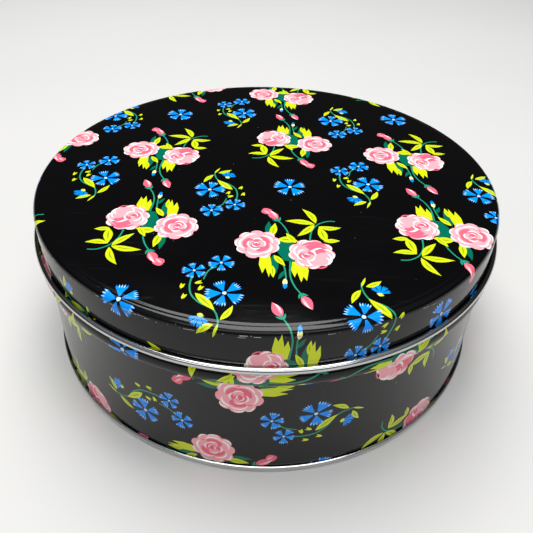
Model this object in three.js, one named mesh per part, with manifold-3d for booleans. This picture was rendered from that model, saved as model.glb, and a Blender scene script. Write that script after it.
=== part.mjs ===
// Round printed tin with a lift-off lid, as it is made from three sheets of tinplate:
//   lid        one drawn sheet: faintly raised panel, rounded shoulder, skirt and an edge rolled out and up
//   body_wall  one rolled sheet: rim curl, stop ridge under the lid, foot flange and a lock seam
//   base_end   one pressed sheet: countersunk panel and the bead that is folded over the wall's flange
// Millimetres, +Z up. The origin is the centre of the ring that the tin stands on.

import * as THREE from "three";
import { mergeVertices } from "three/addons/utils/BufferGeometryUtils.js";
import Module from "manifold-3d";

// ---------------------------------------------------------------- driving dimensions (mm)

const BODY_RADIUS = 96.8; // outside of the body wall
const TIN_HEIGHT = 72; // floor to the panel of the closed lid
const SHEET = 0.3; // thickness of the tinplate

const LID_DEPTH = 17.0; // panel of the lid to the underside of its curled edge
const LID_CLEARANCE = 0.6; // between the skirt and the body wall, all round
const LID_HEADROOM = 1.6; // between the lid's rim and the body's rim
const SHOULDER_RADIUS = 2.3;
const PANEL_RISE = 0.2; // the panel stands this far above the lid's rim
const PANEL_STEP = 0.6; // width of the slope from panel to rim
const RIM_LAND = 0.7; // flat ring between that slope and the shoulder
const LID_CURL_RADIUS = 1.3; // outside of the roll
const LID_CURL_TURN = 312; // degrees that the skirt's edge is rolled out and up

const RIDGE_BULGE = 2.6; // how far the stop ridge stands out of the wall
const RIDGE_HEIGHT = 8.2;
const SEAT_GAP = 0.3; // between the lid's curl and the ridge it stops on
const RIM_CURL_RADIUS = 1.2;
const RIM_CURL_TURN = 285;

const FLANGE_RADIUS = 0.35;
const FLANGE_REACH = 0.3; // straight part of the flange that the bead hooks over
const SEAM_GAP = 0.3; // between the wall and the sheet folded round it

const BEAD_HEIGHT = 2.4;
const BEAD_PROUD = 1.15; // how far the folded bead stands out of the wall
const BEAD_CORNER_RADIUS = 0.75;
const BEAD_LIP_TURN = 100; // degrees that the lip turns over the flange
const BASE_PANEL_HEIGHT = 2.9; // upper face of the base panel above the floor
const BASE_RING_RADIUS = 82; // circle of the stiffening step in the base panel
const BASE_RING_STEP = 0.6;

const LOCK_SEAM_WIDTH = 5;
const LOCK_SEAM_THICKNESS = 0.6; // folded sheet that stands proud inside the wall
const LOCK_SEAM_BITE = 0.1; // overlap with the wall it is part of
const LOCK_SEAM_END_MARGIN = 2; // where it stops short of the bead and the rim curl

const SEGMENTS = 40; // facets round the tin
const ARC_STEP = 30; // degrees between points of a small bend

// ---------------------------------------------------------------- values that follow from them

const HALF = SHEET / 2;
const SKIRT_RADIUS = BODY_RADIUS + LID_CLEARANCE + SHEET;
const RIM_LEVEL = TIN_HEIGHT - PANEL_RISE;
const LID_CURL_CENTRE = {
  r: SKIRT_RADIUS - SHEET + LID_CURL_RADIUS,
  z: TIN_HEIGHT - LID_DEPTH + LID_CURL_RADIUS,
};
const RIM_TOP = RIM_LEVEL - SHEET - LID_HEADROOM;
const RIM_CURL_CENTRE = { r: BODY_RADIUS - RIM_CURL_RADIUS, z: RIM_TOP - RIM_CURL_RADIUS };
const WALL_MIDDLE = BODY_RADIUS - HALF;
const RIDGE = stopRidge();

/** The ridge is one arc. It sits as high as the closed lid's curl allows. */
function stopRidge() {
  const half = RIDGE_HEIGHT / 2;
  const radius = (half * half + RIDGE_BULGE * RIDGE_BULGE) / (2 * RIDGE_BULGE);
  const r = BODY_RADIUS + RIDGE_BULGE - radius;
  const reach = radius + LID_CURL_RADIUS + SEAT_GAP;
  const across = LID_CURL_CENTRE.r - r;
  const z = LID_CURL_CENTRE.z - Math.sqrt(reach * reach - across * across);
  const middleRadius = radius - HALF;
  const halfAngle = THREE.MathUtils.radToDeg(Math.acos((WALL_MIDDLE - r) / middleRadius));
  return { r, z, middleRadius, halfAngle };
}

// ---------------------------------------------------------------- bent sheets

/** The middle line of a bent sheet in the (radius, height) plane, as lines and arcs. */
class SheetLine {
  constructor(r, z) {
    this.points = [new THREE.Vector2(r, z)];
  }

  to(r, z) {
    this.points.push(new THREE.Vector2(r, z));
    return this;
  }

  /** Follows a bend about a centre, from one angle to another (degrees, 0 is outwards, 90 is up). */
  bend(centre, radius, from, to) {
    const steps = Math.max(2, Math.round(Math.abs(to - from) / ARC_STEP));
    for (let i = 0; i <= steps; i += 1) {
      const angle = THREE.MathUtils.degToRad(from + ((to - from) * i) / steps);
      const point = new THREE.Vector2(
        centre.r + radius * Math.cos(angle),
        centre.z + radius * Math.sin(angle),
      );
      if (point.distanceTo(this.points.at(-1)) > 1e-6) {
        this.points.push(point);
      }
    }
    return this;
  }
}

/** Unit normal of a step of the line, to the left of its direction. */
function leftNormal(from, to) {
  const along = to.clone().sub(from).normalize();
  return new THREE.Vector2(-along.y, along.x);
}

/** The line moved sideways, with mitred corners. Positive is to the left. */
function offsetLine(points, distance) {
  return points.map((point, i) => {
    const before = i > 0 ? leftNormal(points[i - 1], point) : leftNormal(point, points[i + 1]);
    const after = i < points.length - 1 ? leftNormal(point, points[i + 1]) : before;
    const middle = before.clone().add(after).normalize();
    const moved = point.clone().addScaledVector(middle, distance / middle.dot(after));
    if (point.x === 0) {
      moved.x = 0; // stays on the axis
    }
    return moved;
  });
}

/** Closed outline between two sideways distances of a line, anticlockwise. */
function bandOutline(points, left, right) {
  const outline = [...offsetLine(points, left), ...offsetLine(points, right).reverse()];
  if (THREE.ShapeUtils.isClockWise(outline)) {
    outline.reverse();
  }
  return outline;
}

/** A sheet turned about the Z axis, one SHEET thick. */
function turnedSheet(line) {
  const outline = bandOutline(line.points, HALF, -HALF);
  const startsOnAxis = line.points[0].x === 0;
  const axisAt = outline.findIndex((p, i) => p.x === 0 && outline.at(i - 1).x === 0);
  const profile = startsOnAxis
    ? [...outline.slice(axisAt), ...outline.slice(0, axisAt)]
    : [...outline, outline[0].clone()];
  return new THREE.LatheGeometry(profile, SEGMENTS).rotateX(Math.PI / 2);
}

// ---------------------------------------------------------------- the three sheets

function lidLine() {
  const shoulder = { r: SKIRT_RADIUS - SHOULDER_RADIUS, z: RIM_LEVEL - SHOULDER_RADIUS };
  const rimInner = shoulder.r - RIM_LAND;
  return new SheetLine(0, TIN_HEIGHT - HALF)
    .to(rimInner - PANEL_STEP, TIN_HEIGHT - HALF)
    .to(rimInner, RIM_LEVEL - HALF)
    .bend(shoulder, SHOULDER_RADIUS - HALF, 90, 0)
    .bend(LID_CURL_CENTRE, LID_CURL_RADIUS - HALF, 180, 180 + LID_CURL_TURN);
}

/** Adds the stop ridge, from the wall below it to the wall above it. */
function bendRidge(line) {
  return line.bend(RIDGE, RIDGE.middleRadius, -RIDGE.halfAngle, RIDGE.halfAngle);
}

function wallLine() {
  const flangeHeight = BEAD_HEIGHT / 2;
  const flange = { r: WALL_MIDDLE + FLANGE_RADIUS, z: flangeHeight + FLANGE_RADIUS };
  const line = new SheetLine(flange.r + FLANGE_REACH, flangeHeight);
  line.bend(flange, FLANGE_RADIUS, 270, 180);
  bendRidge(line);
  return line.bend(RIM_CURL_CENTRE, RIM_CURL_RADIUS - HALF, 0, RIM_CURL_TURN);
}

function baseLine() {
  const chuckWall = WALL_MIDDLE - SHEET - SEAM_GAP;
  const outerWall = BODY_RADIUS + BEAD_PROUD - HALF;
  const corner = BEAD_CORNER_RADIUS - HALF;
  const panel = BASE_PANEL_HEIGHT - HALF;
  const dish = panel - BASE_RING_STEP;
  return new SheetLine(0, dish)
    .to(BASE_RING_RADIUS - BASE_RING_STEP, dish)
    .to(BASE_RING_RADIUS + BASE_RING_STEP, panel)
    .bend({ r: chuckWall - corner, z: panel - corner }, corner, 90, 0)
    .bend({ r: chuckWall + corner, z: HALF + corner }, corner, 180, 270)
    .bend({ r: outerWall - corner, z: HALF + corner }, corner, 270, 360)
    .bend({ r: outerWall - corner, z: BEAD_HEIGHT - HALF - corner }, corner, 0, BEAD_LIP_TURN);
}

/** The folded lock seam, inside the wall at the back, as a strip that follows the wall's line. */
function lockSeam() {
  const line = new SheetLine(WALL_MIDDLE, BEAD_HEIGHT + LOCK_SEAM_END_MARGIN);
  bendRidge(line);
  line.to(WALL_MIDDLE, RIM_CURL_CENTRE.z - RIM_CURL_RADIUS - LOCK_SEAM_END_MARGIN);
  const outline = bandOutline(line.points, HALF - LOCK_SEAM_BITE, HALF + LOCK_SEAM_THICKNESS);
  const strip = new THREE.ExtrudeGeometry(new THREE.Shape(outline), {
    depth: LOCK_SEAM_WIDTH,
    bevelEnabled: false,
  });
  const toBack = new THREE.Matrix4().makeBasis(
    new THREE.Vector3(0, 1, 0),
    new THREE.Vector3(0, 0, 1),
    new THREE.Vector3(1, 0, 0),
  );
  return strip.applyMatrix4(toBack).translate(-LOCK_SEAM_WIDTH / 2, 0, 0);
}

// ---------------------------------------------------------------- joining

const wasm = await Module();
wasm.setup();

/** A closed geometry as a solid that can be joined. */
function solid(geometry) {
  const bare = geometry.clone();
  bare.deleteAttribute("normal");
  bare.deleteAttribute("uv");
  const merged = mergeVertices(bare, 1e-4);
  return new wasm.Manifold(
    new wasm.Mesh({
      numProp: 3,
      vertProperties: new Float32Array(merged.attributes.position.array),
      triVerts: new Uint32Array(merged.index.array),
    }),
  );
}

/** The solid's surface as a geometry. */
function surface(joined) {
  const mesh = joined.getMesh();
  const geometry = new THREE.BufferGeometry();
  geometry.setAttribute("position", new THREE.BufferAttribute(mesh.vertProperties, 3));
  geometry.setIndex(new THREE.BufferAttribute(mesh.triVerts, 1));
  geometry.computeVertexNormals();
  return geometry;
}

// ---------------------------------------------------------------- finishes and assembly

const PRINTED_BLACK = { color: 0x121114, roughness: 0.16, metalness: 0.0 };
const BARE_TINPLATE = { color: 0xc8cacc, roughness: 0.28, metalness: 1.0 };

function named(name, geometry, finish) {
  const mesh = new THREE.Mesh(geometry, new THREE.MeshStandardMaterial(finish));
  mesh.name = name;
  return mesh;
}

const tin = new THREE.Group();
tin.add(named("lid", turnedSheet(lidLine()), PRINTED_BLACK));
tin.add(named("body_wall", surface(solid(turnedSheet(wallLine())).add(solid(lockSeam()))), PRINTED_BLACK));
tin.add(named("base_end", turnedSheet(baseLine()), BARE_TINPLATE));

export default tin;
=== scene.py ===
import logging
import math
import random
from collections import Counter
from dataclasses import dataclass, field
from enum import Enum
from itertools import compress

import bpy
import numpy as np
from mathutils import Matrix, Vector
from mathutils.geometry import delaunay_2d_cdt
from mathutils.kdtree import KDTree


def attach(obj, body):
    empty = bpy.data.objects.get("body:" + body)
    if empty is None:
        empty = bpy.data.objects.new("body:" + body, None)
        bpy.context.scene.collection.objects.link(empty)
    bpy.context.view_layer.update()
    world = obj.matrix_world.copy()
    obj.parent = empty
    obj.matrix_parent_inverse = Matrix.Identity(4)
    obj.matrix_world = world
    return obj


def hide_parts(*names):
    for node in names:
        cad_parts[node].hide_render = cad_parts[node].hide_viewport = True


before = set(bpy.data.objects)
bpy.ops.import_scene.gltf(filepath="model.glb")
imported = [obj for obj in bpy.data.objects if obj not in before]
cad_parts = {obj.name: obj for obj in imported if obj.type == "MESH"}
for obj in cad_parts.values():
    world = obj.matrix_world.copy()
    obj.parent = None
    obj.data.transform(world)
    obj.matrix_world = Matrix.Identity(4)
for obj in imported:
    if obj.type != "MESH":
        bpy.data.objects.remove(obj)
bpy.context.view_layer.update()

MM = 0.001
SHEET = 0.3  # thickness of the tinplate
HALF = SHEET / 2
SPOKES = 180  # facets round the tin
SAME_POINT = 2e-7  # metres; closer points of the print are one
SAME_EDGE = 2e-6  # metres; how near the turned rest has to be to meet the print
VARNISH_IOR = 1.36
SEAM_ANGLE = 90.0  # degrees; the lock seam and the cut of the printed sheet are at the back

log = logging.getLogger("tin")

Outline = list[tuple[float, float]]


# ------------------------------------------------------------------ finishes


class Ink(Enum):
    """What a spot of the sheet's printed side shows. The value is its place in the material slots."""

    GROUND = 0
    ROSE_LIGHT = 1
    ROSE_MID = 2
    ROSE_DEEP = 3
    WHITE = 4
    BLUE = 5
    BLUE_PALE = 6
    LEAF = 7
    LEAF_VEIN = 8
    FERN = 9
    STEM = 10
    CREAM = 11
    CHIP = 12
    TIN = 13


def socket(tree: bpy.types.NodeTree, name: str, kind: str, output: bool = False, value=None) -> None:
    """Adds a named input or output to a group.

    Args:
        tree: the node group.
        name: the socket's name.
        kind: the socket's type, such as NodeSocketFloat.
        output: True for an output.
        value: the input's starting value.
    """
    made = tree.interface.new_socket(name=name, in_out="OUTPUT" if output else "INPUT", socket_type=kind)
    if value is not None:
        made.default_value = value


def node(tree: bpy.types.NodeTree, kind: str, links: dict | None = None, **settings) -> bpy.types.Node:
    """Adds a node, sets it up and joins its inputs.

    Args:
        tree: the tree that gets the node.
        kind: the node's type.
        links: input name or number to a value, or to the output socket that feeds it.
        settings: the node's own properties.

    Returns:
        The node.
    """
    made = tree.nodes.new(kind)
    for key, value in settings.items():
        setattr(made, key, value)
    for key, value in (links or {}).items():
        if isinstance(value, bpy.types.NodeSocket):
            tree.links.new(value, made.inputs[key])
        else:
            made.inputs[key].default_value = value
    return made


def worked_out(tree: bpy.types.NodeTree, operation: str, first, second, **settings) -> bpy.types.NodeSocket:
    """Adds one step of arithmetic to a shader tree.

    Args:
        tree: the tree.
        operation: what is done.
        first, second: sockets or plain values.
        **settings: other settings of the step.

    Returns:
        Its result.
    """
    return node(tree, "ShaderNodeMath", {0: first, 1: second}, operation=operation, **settings).outputs[0]


def varnish_group() -> bpy.types.NodeTree:
    """Builds the stoving varnish: smudges, fine scratches, and the sheet's slight waves.

    Returns:
        The group, with outputs Roughness and Normal.
    """
    tree = bpy.data.node_groups.new("stoving_varnish", "ShaderNodeTree")
    socket(tree, "Gloss Roughness", "NodeSocketFloat", value=0.1)
    socket(tree, "Smudge", "NodeSocketFloat", value=0.1)
    socket(tree, "Scratch", "NodeSocketFloat", value=0.2)
    socket(tree, "Wave", "NodeSocketFloat", value=0.1)
    socket(tree, "Roughness", "NodeSocketFloat", output=True)
    socket(tree, "Normal", "NodeSocketVector", output=True)
    given = node(tree, "NodeGroupInput").outputs
    place = node(tree, "ShaderNodeTexCoord").outputs["Object"]
    wiped = {"Vector": place, "Rotation": (0.0, 0.0, 0.5), "Scale": (1.0, 3.0, 1.0)}
    wipe = node(tree, "ShaderNodeMapping", wiped)
    smeared = {"Vector": wipe.outputs[0], "Scale": 16.0, "Detail": 5.0, "Roughness": 0.6}
    haze = node(tree, "ShaderNodeTexNoise", smeared)
    hazy = {"Value": haze.outputs["Fac"], "From Min": 0.42, "From Max": 0.75}
    haze_mask = node(tree, "ShaderNodeMapRange", hazy)
    dragged = {"Vector": place, "Rotation": (0.0, 0.0, -0.4), "Scale": (60.0, 900.0, 60.0)}
    drag = node(tree, "ShaderNodeMapping", dragged)
    hair = node(tree, "ShaderNodeTexNoise", {"Vector": drag.outputs[0], "Scale": 1.0, "Detail": 2.0})
    scratched = {"Value": hair.outputs["Fac"], "From Min": 0.6, "From Max": 0.72}
    hair_mask = node(tree, "ShaderNodeMapRange", scratched)
    rubbed = worked_out(tree, "MULTIPLY", haze_mask.outputs[0], given["Smudge"])
    scored = worked_out(tree, "MULTIPLY", hair_mask.outputs[0], given["Scratch"])
    scored = worked_out(tree, "MULTIPLY", scored, haze_mask.outputs[0])
    rough = worked_out(tree, "ADD", given["Gloss Roughness"], rubbed)
    rough = worked_out(tree, "ADD", rough, scored, use_clamp=True)
    swell = node(tree, "ShaderNodeTexNoise", {"Vector": place, "Scale": 26.0, "Detail": 1.0})
    wavy = {"Strength": given["Wave"], "Distance": 0.0012, "Height": swell.outputs["Fac"]}
    waves = node(tree, "ShaderNodeBump", wavy)
    peel = node(tree, "ShaderNodeTexNoise", {"Vector": place, "Scale": 900.0, "Detail": 1.0})
    bump = node(
        tree,
        "ShaderNodeBump",
        {"Strength": 0.05, "Distance": 0.0002, "Height": peel.outputs["Fac"], "Normal": waves.outputs[0]},
    )
    out = node(tree, "NodeGroupOutput")
    tree.links.new(rough, out.inputs["Roughness"])
    tree.links.new(bump.outputs[0], out.inputs["Normal"])
    return tree


def rolled_grain_group() -> bpy.types.NodeTree:
    """Builds bare tinplate: the rolling grain, dull patches and handling marks.

    Returns:
        The group, with outputs Color, Roughness and Normal.
    """
    tree = bpy.data.node_groups.new("rolled_grain", "ShaderNodeTree")
    socket(tree, "Bright Color", "NodeSocketColor", value=(0.8, 0.8, 0.79, 1.0))
    socket(tree, "Dull Color", "NodeSocketColor", value=(0.5, 0.48, 0.45, 1.0))
    socket(tree, "Polish Roughness", "NodeSocketFloat", value=0.2)
    socket(tree, "Dulling", "NodeSocketFloat", value=0.3)
    socket(tree, "Color", "NodeSocketColor", output=True)
    socket(tree, "Roughness", "NodeSocketFloat", output=True)
    socket(tree, "Normal", "NodeSocketVector", output=True)
    given = node(tree, "NodeGroupInput").outputs
    place = node(tree, "ShaderNodeTexCoord").outputs["Object"]
    drawn = node(tree, "ShaderNodeMapping", {"Vector": place, "Scale": (1400.0, 40.0, 1400.0)})
    grain = node(tree, "ShaderNodeTexNoise", {"Vector": drawn.outputs[0], "Scale": 1.0, "Detail": 3.0})
    clouded = {"Vector": place, "Scale": 30.0, "Detail": 6.0, "Roughness": 0.65}
    cloud = node(tree, "ShaderNodeTexNoise", clouded)
    dulled = {"Value": cloud.outputs["Fac"], "From Min": 0.4, "From Max": 0.8}
    dull = node(tree, "ShaderNodeMapRange", dulled)
    dull = worked_out(tree, "MULTIPLY", dull.outputs[0], given["Dulling"])
    streaked = {"Value": grain.outputs["Fac"], "To Min": 0.0, "To Max": 0.25}
    streak = node(tree, "ShaderNodeMapRange", streaked)
    mask = worked_out(tree, "ADD", dull, streak.outputs[0], use_clamp=True)
    colour = node(
        tree,
        "ShaderNodeMix",
        {0: mask, 6: given["Bright Color"], 7: given["Dull Color"]},
        data_type="RGBA",
    )
    rough = worked_out(tree, "MULTIPLY", mask, 0.2)
    rough = worked_out(tree, "ADD", rough, given["Polish Roughness"])
    ribbed = {"Strength": 0.08, "Distance": 0.0001, "Height": grain.outputs["Fac"]}
    bump = node(tree, "ShaderNodeBump", ribbed)
    out = node(tree, "NodeGroupOutput")
    tree.links.new(colour.outputs[2], out.inputs["Color"])
    tree.links.new(rough, out.inputs["Roughness"])
    tree.links.new(bump.outputs[0], out.inputs["Normal"])
    return tree


@dataclass(frozen=True)
class PrintFinish:
    """One printed ink under the varnish.

    Attributes:
        name: the material's name.
        colour: its linear colour.
        gloss: roughness of the varnish over it.
        smudge: how much rougher a wiped smudge is.
        metallic: share of bare metal that shows.
    """

    name: str
    colour: tuple[float, float, float]
    gloss: float = 0.13
    smudge: float = 0.1
    metallic: float = 0.0

    def material(self, varnish: bpy.types.NodeTree) -> bpy.types.Material:
        """Builds the material.

        Args:
            varnish: the shared varnish group.

        Returns:
            The material.
        """
        made = bpy.data.materials.new(self.name)
        made.use_nodes = True
        made.diffuse_color = (*self.colour, 1.0)
        shader = made.node_tree.nodes["Principled BSDF"]
        shader.inputs["Base Color"].default_value = (*self.colour, 1.0)
        shader.inputs["Metallic"].default_value = self.metallic
        shader.inputs["IOR"].default_value = VARNISH_IOR
        coat = node(
            made.node_tree,
            "ShaderNodeGroup",
            node_tree=varnish,
        )
        for name, value in (("Gloss Roughness", self.gloss), ("Smudge", self.smudge)):
            coat.inputs[name].default_value = value
        made.node_tree.links.new(coat.outputs["Roughness"], shader.inputs["Roughness"])
        made.node_tree.links.new(coat.outputs["Normal"], shader.inputs["Normal"])
        return made


@dataclass(frozen=True)
class TinFinish:
    """Bare tinplate.

    Attributes:
        name: the material's name.
        bright: linear colour where it shines.
        dull: linear colour where it has dulled.
        polish: roughness where it shines.
        dulling: share of the surface that has dulled.
    """

    name: str
    bright: tuple[float, float, float]
    dull: tuple[float, float, float]
    polish: float
    dulling: float

    def material(self, grain: bpy.types.NodeTree) -> bpy.types.Material:
        """Builds the material.

        Args:
            grain: the shared rolled grain group.

        Returns:
            The material.
        """
        made = bpy.data.materials.new(self.name)
        made.use_nodes = True
        made.diffuse_color = (*self.bright, 1.0)
        shader = made.node_tree.nodes["Principled BSDF"]
        shader.inputs["Metallic"].default_value = 1.0
        plate = node(made.node_tree, "ShaderNodeGroup", node_tree=grain)
        plate.inputs["Bright Color"].default_value = (*self.bright, 1.0)
        plate.inputs["Dull Color"].default_value = (*self.dull, 1.0)
        plate.inputs["Polish Roughness"].default_value = self.polish
        plate.inputs["Dulling"].default_value = self.dulling
        for name, into in (("Color", "Base Color"), ("Roughness", "Roughness"), ("Normal", "Normal")):
            made.node_tree.links.new(plate.outputs[name], shader.inputs[into])
        return made


INKS = {
    Ink.GROUND: PrintFinish("ink_black", (0.002, 0.002, 0.0023), gloss=0.08, smudge=0.1),
    Ink.ROSE_LIGHT: PrintFinish("ink_rose_light", (0.88, 0.36, 0.4)),
    Ink.ROSE_MID: PrintFinish("ink_rose_mid", (0.82, 0.12, 0.19)),
    Ink.ROSE_DEEP: PrintFinish("ink_rose_deep", (0.62, 0.055, 0.1)),
    Ink.WHITE: PrintFinish("ink_white", (0.88, 0.84, 0.8)),
    Ink.BLUE: PrintFinish("ink_blue", (0.0, 0.25, 0.84)),
    Ink.BLUE_PALE: PrintFinish("ink_blue_pale", (0.5, 0.68, 0.88)),
    Ink.LEAF: PrintFinish("ink_chartreuse", (0.58, 0.67, 0.008)),
    Ink.LEAF_VEIN: PrintFinish("ink_olive", (0.2, 0.33, 0.01)),
    Ink.FERN: PrintFinish("ink_fern", (0.0, 0.13, 0.075)),
    Ink.STEM: PrintFinish("ink_teal", (0.015, 0.27, 0.16)),
    Ink.CREAM: PrintFinish("ink_cream", (0.78, 0.76, 0.3)),
    Ink.CHIP: PrintFinish("chipped_spot", (0.42, 0.42, 0.41), gloss=0.4, smudge=0.2, metallic=0.3),
}
BARE_TIN = TinFinish("bare_tinplate", (0.62, 0.62, 0.605), (0.4, 0.385, 0.35), 0.07, 0.35)


# ------------------------------------------------------------------ drawing the print


def curve_through(points: Outline, steps: int = 5) -> Outline:
    """Smooth line through points, by Catmull and Rom's rule.

    Args:
        points: the points, two or more.
        steps: how many steps between two of them.

    Returns:
        The line's points.
    """
    padded = [points[0], *points, points[-1]]
    line: Outline = []
    for a, b, c, d in zip(padded, padded[1:], padded[2:], padded[3:]):
        for i in range(steps):
            t = i / steps
            line.append(
                tuple(
                    0.5
                    * (
                        2 * q
                        + (r - p) * t
                        + (2 * p - 5 * q + 4 * r - s) * t * t
                        + (3 * q - p - 3 * r + s) * t**3
                    )
                    for p, q, r, s in zip(a, b, c, d)
                )
            )
    return [*line, points[-1]]


def ribbon(points: Outline, start: float, end: float) -> Outline:
    """Outline of a stem that follows a line.

    Args:
        points: the line.
        start: width at its first point.
        end: width at its last point.

    Returns:
        The outline.
    """
    line = np.array(curve_through(points))
    along = np.gradient(line, axis=0)
    side = np.stack([-along[:, 1], along[:, 0]], 1) / np.linalg.norm(along, axis=1)[:, None]
    width = np.linspace(start, end, len(line))[:, None] / 2
    return [*map(tuple, line + side * width), *map(tuple, (line - side * width)[::-1])]


def almond(base: tuple[float, float], tip: tuple[float, float], width: float, bow: float = 0.0) -> Outline:
    """Outline of a pointed leaf.

    Args:
        base: where it grows.
        tip: its point.
        width: its greatest width.
        bow: how far its middle stands to the left of the straight line.

    Returns:
        The outline.
    """
    start = np.array(base)
    along = np.array(tip) - start
    side = np.array([-along[1], along[0]]) / np.linalg.norm(along)
    t = np.linspace(0.0, 1.0, 8)[:, None]
    middle = start + along * t + side * bow * 4 * t * (1 - t)
    half = width / 2 * np.sin(np.pi * t**0.85)
    left = middle + side * half
    right = middle - side * half
    return [*map(tuple, left), *map(tuple, right[-2:0:-1])]


def lobed(x: float, y: float, radius: float, lobes: int, depth: float, turn: float) -> Outline:
    """Outline of a round flower head with scalloped edge.

    Args:
        x, y: its centre.
        radius: its greatest radius.
        lobes: how many scallops.
        depth: how deep they are, as a share of the radius.
        turn: angle of a notch, in degrees.

    Returns:
        The outline.
    """
    outline = []
    for i in range(lobes * 5):
        angle = 2 * math.pi * i / (lobes * 5)
        swell = 1 - depth + depth * abs(math.sin(lobes * angle / 2)) ** 0.7
        uneven = 1 + 0.03 * math.sin(3 * angle + turn)
        around = angle + math.radians(turn)
        reach = radius * swell * uneven
        outline.append((x + reach * math.cos(around), y + reach * math.sin(around)))
    return outline


def crescent(x: float, y: float, radius: float, middle: float, spread: float, width: float) -> Outline:
    """Outline of a brush stroke that follows an arc and tapers to both ends.

    Args:
        x, y: the arc's centre.
        radius: the stroke's outer radius.
        middle: direction of its middle, in degrees.
        spread: half its angle, in degrees.
        width: its greatest width.

    Returns:
        The outline.
    """
    steps = 8
    angles = [math.radians(middle - spread + 2 * spread * i / steps) for i in range(steps + 1)]
    inner = [radius - width * math.sin(math.pi * i / steps) ** 0.8 for i in range(steps + 1)]
    outer = [(x + radius * math.cos(a), y + radius * math.sin(a)) for a in angles]
    back = [(x + r * math.cos(a), y + r * math.sin(a)) for r, a in zip(inner, angles)]
    return [*outer, *back[-2:0:-1]]


def crown(base: tuple[float, float], heading: float, length: float, width: float, points: int) -> Outline:
    """Outline of a leaf that is cut into points at its end.

    Args:
        base: the middle of its narrow end.
        heading: direction it points in, in degrees.
        length: from its narrow end to its longest point.
        width: its greatest width.
        points: how many points it ends in.

    Returns:
        The outline.
    """
    shape = [(0.0, -0.4), (0.4, -0.5)]
    for i in range(points):
        across = (i + 0.5) / points - 0.5
        reach = 1 - 0.32 * abs(across - 0.12) * 2
        shape.append((reach, across))
        if i < points - 1:
            shape.append((reach - 0.24, across + 0.5 / points))
    shape += [(0.4, 0.5), (0.0, 0.4)]
    angle = math.radians(heading)
    c, s = math.cos(angle), math.sin(angle)
    return [
        (base[0] + length * u * c - width * v * s, base[1] + length * u * s + width * v * c) for u, v in shape
    ]


class Artwork:
    """Shapes of ink on the flat sheet, in mm, in the order they are laid down."""

    def __init__(self) -> None:
        """Starts with a bare black ground."""
        self.shapes: list[tuple[Ink, np.ndarray]] = []

    def add(self, ink: Ink, outline: Outline) -> None:
        """Lays down one shape."""
        self.shapes.append((ink, np.array(outline)))

    def stamp(self, motif: "Artwork", x: float, y: float, turn: float = 0.0, size: float = 1.0) -> None:
        """Lays down another drawing.

        Args:
            motif: the drawing.
            x, y: where its origin goes.
            turn: how far it is turned, in degrees.
            size: its scale.
        """
        a = math.radians(turn)
        matrix = np.array([[math.cos(a), math.sin(a)], [-math.sin(a), math.cos(a)]]) * size
        for ink, outline in motif.shapes:
            self.shapes.append((ink, outline @ matrix + (x, y)))

    def leaf(
        self, base: tuple[float, float], tip: tuple[float, float], width: float, bow: float = 0.0
    ) -> None:
        """Lays down a leaf with its vein."""
        self.add(Ink.LEAF, almond(base, tip, width, bow))
        inside = [tuple(b + (t - b) * share for b, t in zip(base, tip)) for share in (0.18, 0.78)]
        self.add(Ink.LEAF_VEIN, almond(inside[0], inside[1], width * 0.16, bow * 0.9))


def petal(art: Artwork, x: float, y: float, radius: float, facing: float, shade: Ink, edge: float) -> None:
    """Paints one curled rose petal: a shaded hollow, a light outer part and a white lip.

    Args:
        art: the drawing.
        x, y: the petal's centre.
        radius: its radius.
        facing: direction of its outer edge, in degrees.
        shade: ink of its hollow.
        edge: width of the white lip, or 0 for none.
    """
    art.add(shade, lobed(x, y, radius, 3, 0.07, facing))
    art.add(Ink.ROSE_LIGHT, crescent(x, y, radius * 0.98, facing, 92, radius * 0.42))
    if edge:
        art.add(Ink.WHITE, crescent(x, y, radius * 1.02, facing + 8, 72, edge))


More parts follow.
